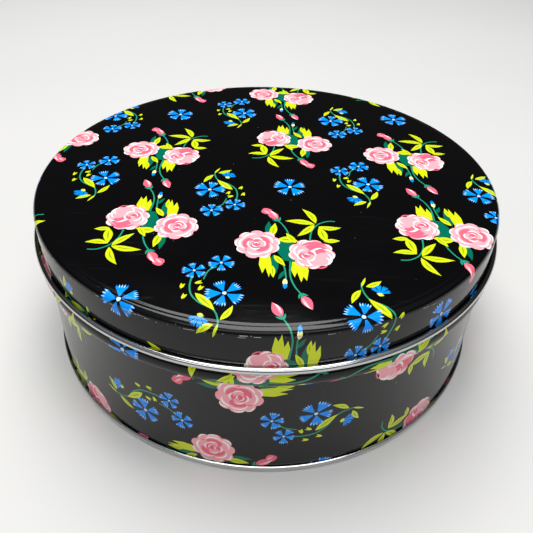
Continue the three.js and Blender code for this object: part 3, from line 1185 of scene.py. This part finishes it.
@dataclass
class Lid:
    """The lid: one drawn sheet, printed on top and on its skirt.

    Attributes:
        top: height of the panel.
        rise: how far the panel stands above the rim.
        step: width of the slope from panel to rim.
        land: flat ring between that slope and the shoulder.
        skirt: outer radius of the skirt.
        shoulder: radius of the rounded shoulder.
        curl: outer radius of the rolled edge.
        curl_height: height of the roll's centre.
        curl_turn: degrees that the edge is rolled.
        flat_reach: radius within which the print needs no guide rings.
        trim: how far the flowers stop short of the roll.
    """

    top: float = 72.0
    rise: float = 0.2
    step: float = 0.6
    land: float = 0.7
    skirt: float = 97.7
    shoulder: float = 2.3
    curl: float = 1.3
    curl_height: float = 56.3
    curl_turn: float = 312.0
    flat_reach: float = 93.0
    trim: float = 0.06

    def line(self) -> tuple[np.ndarray, int]:
        """Makes the sheet's middle line.

        Returns:
            Its points, and how many of them come before the roll.
        """
        bend = self.skirt - self.shoulder
        rim = self.top - self.rise
        start = SheetLine(0.0, self.top - HALF).to(bend - self.land - self.step, self.top - HALF)
        start.to(bend - self.land, rim - HALF)
        start.bend(bend, rim - self.shoulder, self.shoulder - HALF, 90, 0)
        start.to(self.skirt - HALF, self.curl_height)
        before = start.softened(0.25)
        roll = SheetLine(self.skirt - HALF, self.curl_height)
        centre = self.skirt - SHEET + self.curl
        roll.bend(centre, self.curl_height, self.curl - HALF, 180, 180 + self.curl_turn)
        return np.vstack([before, np.array(roll.points[1:])]), len(before)

    def flat_print(self, side: PrintedSide, limit: float) -> FlatPrint:
        """Draws the print and cuts it, with guide rings where the sheet is bent.

        Args:
            side: the printed side.
            limit: distance from the centre at which the roll starts.

        Returns:
            The flat print.
        """
        art = Repeat(strays=((0, -2, -1.5, -3.2), (1, -1, -1.2, -1.8))).spread(9.6, -15.2, 0.0, limit)
        self.age(art)
        kept = Artwork()
        for ink, outline in art.shapes:
            reach = np.linalg.norm(outline, axis=1)
            if reach.min() > limit - self.trim:
                continue
            shrink = np.minimum(1.0, (limit - self.trim) / np.maximum(reach, 1e-9))
            kept.add(ink, outline * shrink[:, None])
        rings = [u for u in side.along if self.flat_reach < u <= limit + 1e-6]
        angles = math.radians(SEAM_ANGLE) + math.tau * np.arange(SPOKES) / SPOKES
        spokes = np.stack([np.cos(angles), np.sin(angles)], 1)
        guides = np.vstack([spokes * u for u in rings])
        edges = []
        for k in range(len(rings)):
            for i in range(SPOKES):
                edges.append((k * SPOKES + i, k * SPOKES + (i + 1) % SPOKES))
                if k:
                    edges.append((k * SPOKES + i, (k - 1) * SPOKES + i))
        return FlatPrint.cut(kept, guides, edges)

    def age(self, art: Artwork) -> None:
        """Adds dust on the panel and scuffs along the shoulder, thickest at the front left."""
        rng = random.Random(11)
        dust = []
        for _ in range(46):
            radius, angle = 90.0 * math.sqrt(rng.random()), rng.uniform(0.0, math.tau)
            dust.append((radius * math.cos(angle), radius * math.sin(angle)))
        wear(art, dust, rng, 0.16)
        scuffs = []
        for _ in range(80):
            angle = math.radians(rng.gauss(256, 26) if rng.random() < 0.6 else rng.uniform(0.0, 360.0))
            radius = rng.gauss(98.6, 0.35)
            scuffs.append((radius * math.cos(angle), radius * math.sin(angle)))
        wear(art, scuffs, rng, 0.18)
        for _ in range(26):
            start = math.radians(rng.gauss(258, 24) if rng.random() < 0.7 else rng.uniform(0.0, 360.0))
            sweep = rng.uniform(0.006, 0.028)
            radius = rng.gauss(98.7, 0.25)
            stops = [start + sweep * t for t in (0, 0.5, 1)]
            line = [(radius * math.cos(a), radius * math.sin(a)) for a in stops]
            art.add(Ink.CHIP, ribbon(line, rng.uniform(0.05, 0.25), rng.uniform(0.05, 0.3)))

    def build(self, shop: Workshop) -> bpy.types.Object:
        """Makes the lid.

        Args:
            shop: the finishes.

        Returns:
            The piece.
        """
        middle, before = self.line()
        normals = unit_normals(middle)
        upper, under = middle + normals * HALF, middle - normals * HALF
        upper[0, 0] = under[0, 0] = 0.0
        side = PrintedSide(upper[: before + 1], left=True)
        limit = side.along[before - 1]
        flat = self.flat_print(side, limit)
        reach = np.linalg.norm(flat.points, axis=1)
        spots, facing = side.place(np.minimum(reach, limit))
        unit = flat.points / np.maximum(reach, 1e-9)[:, None]
        points = np.column_stack([unit * spots[:, :1], spots[:, 1]]) * MM
        outward = np.column_stack([unit * facing[:, :1], facing[:, 1]])
        inside_roll = upper[before - 1 :][::-1]
        rest = shop.turn(np.vstack([under, inside_roll]), last=len(inside_roll))
        mesh = printed_shell("lid_printed_shell", flat, points, outward, rest, shop)
        return piece("lid_printed_shell", mesh, "lid_body", "lid")


@dataclass
class BodyWall:
    """The wall: one rolled sheet, printed outside, with its lock seam at the back.

    Attributes:
        radius: outer radius of the wall.
        flange: radius of the bend at the foot, and its height.
        flange_height: height of the flange that the base bead hooks over.
        flange_reach: straight part of the flange.
        ridge_radius: radius of the stop ridge's arc.
        ridge_centre: the arc's centre.
        rim: top of the rim curl.
        rim_curl: outer radius of the rim curl.
        rim_turn: degrees that the rim is curled.
        seam_width: width of the lock seam.
        seam_thickness: how far it stands inside the wall.
        groove: depth of the line that the seam leaves outside.
        groove_reach: how far that line fades out to each side.
        margin: how far the print stops short of the seam.
        seam_ends: heights between which the seam's fold stands inside.
    """

    radius: float = 96.8
    flange: float = 0.35
    flange_height: float = 1.2
    flange_reach: float = 0.3
    ridge_radius: float = 4.533
    ridge_centre: tuple[float, float] = (94.867, 51.513)
    rim: float = 69.9
    rim_curl: float = 1.2
    rim_turn: float = 285.0
    seam_width: float = 5.0
    seam_thickness: float = 0.6
    groove: float = 0.2
    groove_reach: float = 0.9
    margin: float = 2.4
    seam_ends: tuple[float, float] = field(default=(4.4, 65.5))

    def ridge_half_angle(self) -> float:
        """Half the angle of the ridge's arc, in degrees, on the sheet's middle line."""
        out = self.radius - HALF - self.ridge_centre[0]
        return math.degrees(math.acos(out / (self.ridge_radius - HALF)))

    def line(self) -> tuple[np.ndarray, int, int]:
        """Makes the sheet's middle line.

        Returns:
            Its points, and the numbers of the first and last one of the printed wall.
        """
        middle = self.radius - HALF
        foot = SheetLine(middle + self.flange + self.flange_reach, self.flange_height)
        foot.bend(middle + self.flange, self.flange_height + self.flange, self.flange, 270, 180)
        wall = SheetLine(middle, self.flange_height + self.flange)
        half = self.ridge_half_angle()
        wall.bend(*self.ridge_centre, self.ridge_radius - HALF, -half, half)
        wall.to(middle, self.rim - self.rim_curl)
        straight = wall.softened(0.35)
        roll = self.radius - self.rim_curl, self.rim - self.rim_curl
        curl = SheetLine(middle, self.rim - self.rim_curl)
        curl.bend(*roll, self.rim_curl - HALF, 0, self.rim_turn)
        points = np.vstack([np.array(foot.points[:-1]), straight, np.array(curl.points[1:])])
        first = len(foot.points) - 1
        return points, first, first + len(straight) - 1

    def flat_print(self, side: PrintedSide) -> FlatPrint:
        """Draws the print of the long sheet and cuts it, with guide lines where it is bent.

        Args:
            side: the printed side.

        Returns:
            The flat print.
        """
        half = math.pi * self.radius
        height = side.along[-1]
        art = Repeat().spread(-47.0, 51.6, -90.0, half)
        self.age(art, half)
        kept = Artwork()
        for ink, outline in art.shapes:
            x, y = outline[:, 0], outline[:, 1]
            side_edge = half - self.margin
            if x.min() > side_edge or x.max() < -side_edge or y.min() > height - 0.1 or y.max() < 0.1:
                continue
            kept.add(ink, np.stack([np.clip(x, -side_edge, side_edge), np.clip(y, 0.06, height - 0.06)], 1))
        columns = half * (2 * np.arange(SPOKES + 1) / SPOKES - 1)
        rows = side.along
        guides = [(x, y) for y in rows for x in columns]
        count = len(columns)
        edges = []
        for k in range(len(rows)):
            edges += [(k * count + i, k * count + i + 1) for i in range(count - 1)]
            if k:
                edges += [(k * count + i, (k - 1) * count + i) for i in range(count)]
        # The groove's guide lines stop short of the sheet's ends, so those still meet the turned rest.
        for x in (self.groove_reach - half, half - self.groove_reach):
            for k, y in enumerate(rows[1:-1]):
                if k:
                    edges.append((len(guides) - 1, len(guides)))
                guides.append((x, y))
        return FlatPrint.cut(kept, np.array(guides), edges)

    def age(self, art: Artwork, half: float) -> None:
        """Adds knocks along the ridge and at the foot, and a few on the wall.

        Args:
            art: the print.
            half: half the sheet's length.
        """
        rng = random.Random(29)
        spots = [(rng.uniform(-half, half), rng.gauss(49.5, 1.6)) for _ in range(70)]
        spots += [(rng.uniform(-half, half), rng.uniform(1.0, 2.6)) for _ in range(60)]
        spots += [(rng.uniform(-half, half), rng.uniform(4.0, 46.0)) for _ in range(50)]
        wear(art, spots, rng, 0.2)

    def seam(self) -> tuple[list[tuple[float, float, float]], list, list[tuple[int, ...]]]:
        """Makes the folded seam as a strip inside the wall.

        Returns:
            Its points in metres, no loose edges, and its faces.
        """
        low, high = self.seam_ends
        half = self.ridge_half_angle()
        line = SheetLine(self.radius - HALF, low)
        line.bend(*self.ridge_centre, self.ridge_radius - HALF, -half, half)
        line.to(self.radius - HALF, high)
        middle = np.array(line.points)
        normals = unit_normals(middle)
        outer, inner = middle + normals * (HALF - 0.1), middle + normals * (HALF + self.seam_thickness)
        spots = []
        for x in (-self.seam_width / 2, self.seam_width / 2):
            spots += [(x * MM, r * MM, z * MM) for r, z in (*outer, *inner[::-1])]
        count = 2 * len(middle)
        last = len(middle) - 1
        faces = [(i, (i + 1) % count, count + (i + 1) % count, count + i) for i in range(count)]
        for i in range(last):
            a, b = i, count - 1 - i
            faces.append((a, b, b - 1, a + 1))
            faces.append((count + a, count + a + 1, count + b - 1, count + b))
        return spots, [], faces

    def build(self, shop: Workshop) -> bpy.types.Object:
        """Makes the wall.

        Args:
            shop: the finishes.

        Returns:
            The piece.
        """
        middle, first, last = self.line()
        normals = unit_normals(middle)
        outside, inside = middle - normals * HALF, middle + normals * HALF
        side = PrintedSide(outside[first : last + 1], left=False)
        flat = self.flat_print(side)
        half = math.pi * self.radius
        height = side.along[-1]
        spots, facing = side.place(flat.points[:, 1])
        angle = -math.pi / 2 + flat.points[:, 0] / self.radius
        near = np.clip(1 - (half - np.abs(flat.points[:, 0])) / self.groove_reach, 0.0, 1.0)
        near *= np.clip(np.minimum(flat.points[:, 1], height - flat.points[:, 1]) / 0.5, 0.0, 1.0)
        radius = spots[:, 0] - self.groove * near
        points = np.column_stack([radius * np.cos(angle), radius * np.sin(angle), spots[:, 1]]) * MM
        outward = np.column_stack([facing[:, 0] * np.cos(angle), facing[:, 0] * np.sin(angle), facing[:, 1]])
        curl, foot = outside[last:], outside[: first + 1]
        rest = shop.turn(np.vstack([curl, inside[::-1], foot]), first=len(curl) - 1, last=len(foot) - 1)
        mesh = printed_shell("body_printed_shell", flat, points, outward, rest, shop)
        fold = bpy.data.meshes.new("lock_seam_fold")
        fold.from_pydata(*self.seam())
        fold.materials.append(shop.tin)
        fold.update()
        piece("lock_seam_fold", fold, "tin_body", "body_wall")
        return piece("body_printed_shell", mesh, "tin_body", "body_wall")


@dataclass
class BaseEnd:
    """The base: one pressed sheet, folded over the wall's flange.

    Attributes:
        wall: outer radius of the wall it is folded round.
        gap: room between the wall and the fold.
        bead_height: height of the folded bead.
        proud: how far the bead stands out of the wall.
        corner: outer radius of its bends.
        lip_turn: degrees that the lip turns over the flange.
        panel: height of the panel's upper face.
        ring: radius of the step in the panel.
        dish: depth of that step.
    """

    wall: float = 96.8
    gap: float = 0.3
    bead_height: float = 2.4
    proud: float = 1.15
    corner: float = 0.75
    lip_turn: float = 100.0
    panel: float = 2.9
    ring: float = 82.0
    dish: float = 0.6

    def build(self, shop: Workshop) -> bpy.types.Object:
        """Makes the base.

        Args:
            shop: the finishes.

        Returns:
            The piece.
        """
        chuck = self.wall - HALF - SHEET - self.gap
        outer = self.wall + self.proud - HALF
        corner = self.corner - HALF
        panel = self.panel - HALF
        line = SheetLine(0.0, panel - self.dish).to(self.ring - self.dish, panel - self.dish)
        line.to(self.ring + self.dish, panel)
        line.bend(chuck - corner, panel - corner, corner, 90, 0)
        line.bend(chuck + corner, HALF + corner, corner, 180, 270)
        line.bend(outer - corner, HALF + corner, corner, 270, 360)
        line.bend(outer - corner, self.bead_height - HALF - corner, corner, 0, self.lip_turn)
        middle = line.softened(0.3)
        normals = unit_normals(middle)
        upper, under = middle + normals * HALF, middle - normals * HALF
        upper[0, 0] = under[0, 0] = 0.0
        mesh = shop.turn(np.vstack([under, upper[::-1]]))
        mesh.name = "base_folded_end"
        return piece("base_folded_end", mesh, "tin_body", "base_end")


# ------------------------------------------------------------------ the studio


@dataclass
class Studio:
    """Camera, floor and soft lights.

    Attributes:
        eye: where the camera is, in metres.
        dip: how far it looks down, in degrees.
        roll: how far it leans, in degrees.
        lens: focal length on a 36 mm sensor.
        shift: vertical shift of the lens.
    """

    eye: tuple[float, float, float] = (0.0, -0.214874, 0.194835)
    dip: float = 33.508
    roll: float = 1.419
    lens: float = 37.82
    shift: float = -0.1154

    def camera(self) -> None:
        """Sets up the camera."""
        dip, roll = math.radians(self.dip), math.radians(self.roll)
        ahead = Vector((0.0, math.cos(dip), -math.sin(dip)))
        right = Vector((1.0, 0.0, 0.0))
        up = Vector((0.0, math.sin(dip), math.cos(dip)))
        x = math.cos(roll) * right + math.sin(roll) * up
        y = -math.sin(roll) * right + math.cos(roll) * up
        data = bpy.data.cameras.new("camera")
        data.sensor_width = 36.0
        data.lens = self.lens
        data.shift_y = self.shift
        data.clip_start = 0.01
        made = bpy.data.objects.new("camera", data)
        made.matrix_world = Matrix.Translation(self.eye) @ Matrix((x, y, -ahead)).transposed().to_4x4()
        bpy.context.collection.objects.link(made)
        bpy.context.scene.camera = made

    def floor(self) -> None:
        """Lays a pale floor."""
        mesh = bpy.data.meshes.new("floor")
        side = 6.0
        corners = [(-side, -side, 0), (side, -side, 0), (side, side, 0), (-side, side, 0)]
        mesh.from_pydata(corners, [], [(0, 1, 2, 3)])
        material = bpy.data.materials.new("pale_floor")
        material.use_nodes = True
        tree = material.node_tree
        shader = tree.nodes["Principled BSDF"]
        place = node(tree, "ShaderNodeTexCoord").outputs["Object"]
        cloud = node(tree, "ShaderNodeTexNoise", {"Vector": place, "Scale": 5.0, "Detail": 3.0})
        tone = node(
            tree,
            "ShaderNodeMix",
            {0: cloud.outputs["Fac"], 6: (0.56, 0.55, 0.53, 1.0), 7: (0.6, 0.59, 0.57, 1.0)},
            data_type="RGBA",
        )
        tree.links.new(tone.outputs[2], shader.inputs["Base Color"])
        shader.inputs["Roughness"].default_value = 0.85
        mesh.materials.append(material)
        made = bpy.data.objects.new("floor", mesh)
        bpy.context.collection.objects.link(made)

    def light(
        self, name: str, spot: tuple[float, float, float], size: tuple[float, float], radiance: float
    ) -> None:
        """Hangs a soft box that faces the tin.

        Args:
            name: its name.
            spot: where it hangs, in metres.
            size: its width and height.
            radiance: how bright its face is.
        """
        data = bpy.data.lights.new(name, "AREA")
        data.shape = "RECTANGLE"
        data.size, data.size_y = size
        data.energy = radiance * math.pi * size[0] * size[1]
        made = bpy.data.objects.new(name, data)
        made.location = spot
        made.rotation_euler = (Vector((0.0, 0.0, 0.05)) - Vector(spot)).to_track_quat("-Z", "Y").to_euler()
        bpy.context.collection.objects.link(made)

    def sky(self) -> None:
        """Sets the room's dim light: brighter above and in front of the tin, darker behind it."""
        world = bpy.data.worlds.new("studio")
        bpy.context.scene.world = world
        world.use_nodes = True
        tree = world.node_tree
        way = node(tree, "ShaderNodeTexCoord").outputs["Generated"]
        tilt = math.radians(30.0)
        bright_side = (0.0, -math.sin(tilt), math.cos(tilt))
        dot = node(tree, "ShaderNodeVectorMath", {0: way, 1: bright_side}, operation="DOT_PRODUCT")
        facing = {"Value": dot.outputs["Value"], "From Min": 0.3, "From Max": 0.85}
        share = node(tree, "ShaderNodeMapRange", facing)
        colour = node(
            tree,
            "ShaderNodeMix",
            {0: share.outputs[0], 6: (0.03, 0.03, 0.03, 1.0), 7: (0.32, 0.35, 0.4, 1.0)},
            data_type="RGBA",
        )
        tree.links.new(colour.outputs[2], tree.nodes["Background"].inputs["Color"])

    def build(self) -> None:
        """Sets up the whole studio."""
        self.camera()
        self.floor()
        self.light("overhead", (-0.05, 0.15, 1.3), (0.85, 1.3), 7.6)
        self.light("front", (0.0, -1.2, 1.15), (2.0, 0.5), 1.9)
        self.sky()
        bpy.context.scene.view_settings.view_transform = "Standard"


def main() -> None:
    """Builds the studio and the tin."""
    logging.basicConfig(level=logging.INFO, format="%(message)s")
    studio = Studio()
    studio.build()
    shop = Workshop.fitted_out()
    for part in (BaseEnd(), BodyWall(), Lid()):
        part.build(shop)


if __name__ == "__main__":
    main()
